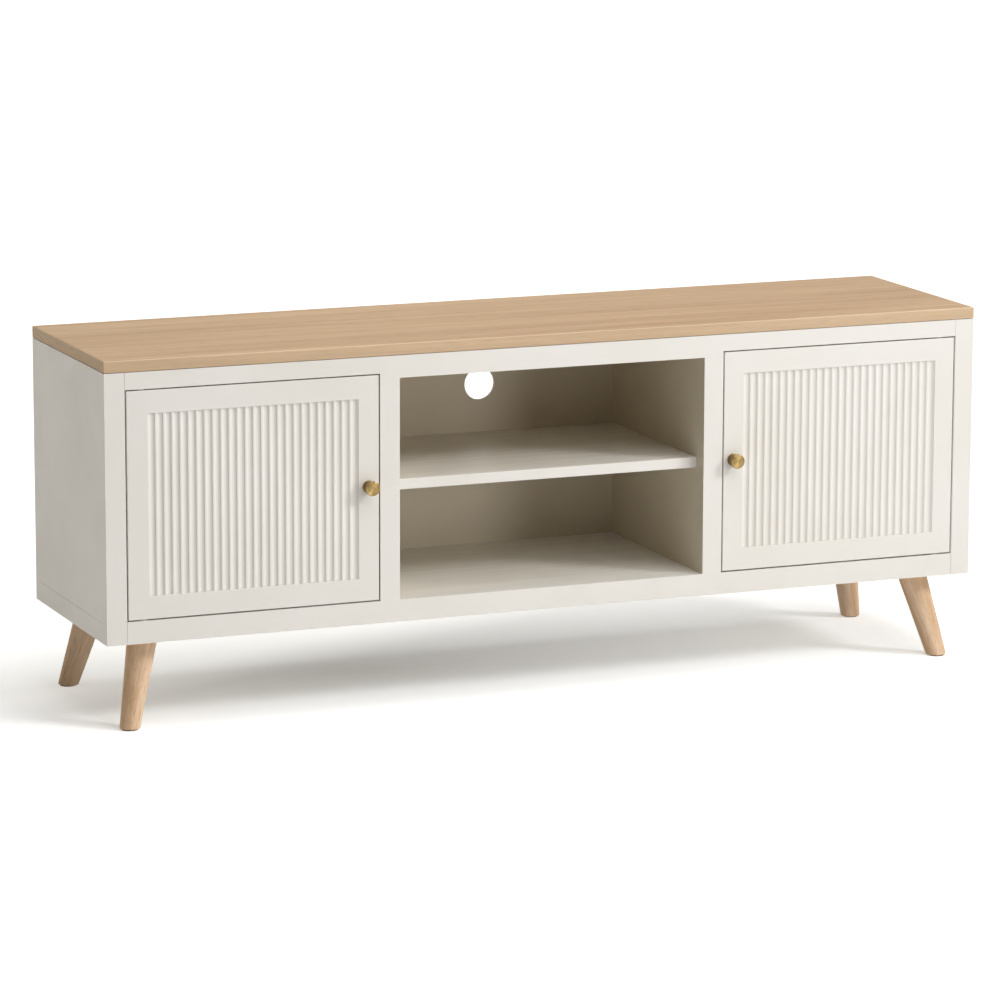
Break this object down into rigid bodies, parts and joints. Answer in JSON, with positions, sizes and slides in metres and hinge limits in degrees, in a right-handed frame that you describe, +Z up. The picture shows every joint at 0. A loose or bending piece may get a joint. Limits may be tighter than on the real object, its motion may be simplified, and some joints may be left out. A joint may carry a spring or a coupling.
{
  "type": "media cabinet",
  "caption": "Low painted media cabinet with framed fluted doors beside an open shelved bay, an oak top board, brass knobs and splayed tapered oak legs.",
  "frame": {"origin": "on the floor, under the middle of the outline with the knobs included", "axes": "+X along the cabinet to the right seen from the front, the front faces -Y, +Z up"},
  "size_m": [1.4, 0.3684, 0.55],
  "materials": {
    "paint": "satin off-white paint on board",
    "oak_top": "light oak veneer, matt lacquer",
    "oak_leg": "light oak, matt lacquer",
    "raw_wood": "bare wood",
    "brass": "aged brass, turned",
    "steel": "zinc-plated steel",
    "nylon": "off-white nylon",
    "glide": "dark brown plastic"
  },
  "bodies": {
    "carcass": {"top_board": "oak_top", "left_end_stile": "paint", "left_divider_stile": "paint", "left_top_rail": "paint", "left_side_panel": "paint", "left_base_rail": "paint", "left_divider_panel": "paint", "left_cupboard_shelf": "paint", "left_upper_pivot_bush": "nylon", "left_lower_pivot_bush": "nylon", "left_catch": "nylon", "right_end_stile": "paint", "right_divider_stile": "paint", "right_top_rail": "paint", "right_side_panel": "paint", "right_base_rail": "paint", "right_divider_panel": "paint", "right_cupboard_shelf": "paint", "right_upper_pivot_bush": "nylon", "right_lower_pivot_bush": "nylon", "right_catch": "nylon", "bay_top_rail": "paint", "bottom_rail": "paint", "rear_base_rail": "paint", "floor_panel": "paint", "ceiling_panel": "paint", "back_panel": "paint", "bay_shelf": "paint", "frame_dowels": "raw_wood", "shelf_pins": "steel", "leg_bolts": "steel", "leg_inserts": "steel", "front_left_leg": "oak_leg", "front_left_foot_glide": "glide", "front_left_leg_block": "raw_wood", "front_right_leg": "oak_leg", "front_right_foot_glide": "glide", "front_right_leg_block": "raw_wood", "rear_left_leg": "oak_leg", "rear_left_foot_glide": "glide", "rear_left_leg_block": "raw_wood", "rear_right_leg": "oak_leg", "rear_right_foot_glide": "glide", "rear_right_leg_block": "raw_wood"},
    "left_door": {"left_door_frame": "paint", "left_fluted_panel": "paint", "left_knob": "brass", "left_knob_screw": "steel", "left_upper_pivot_pin": "steel", "left_lower_pivot_pin": "steel", "left_strike_plate": "steel"},
    "right_door": {"right_door_frame": "paint", "right_fluted_panel": "paint", "right_knob": "brass", "right_knob_screw": "steel", "right_upper_pivot_pin": "steel", "right_lower_pivot_pin": "steel", "right_strike_plate": "steel"}
  },
  "joints": [
    {"name": "left_door_hinge", "type": "hinge", "parent": "carcass", "child": "left_door", "pos_m": [-0.643, -0.15675, 0.1655], "axis": [0, 0, -1], "range_deg": [0, 110]},
    {"name": "right_door_hinge", "type": "hinge", "parent": "carcass", "child": "right_door", "pos_m": [0.643, -0.15675, 0.1655], "axis": [0, 0, 1], "range_deg": [0, 110]}
  ]
}
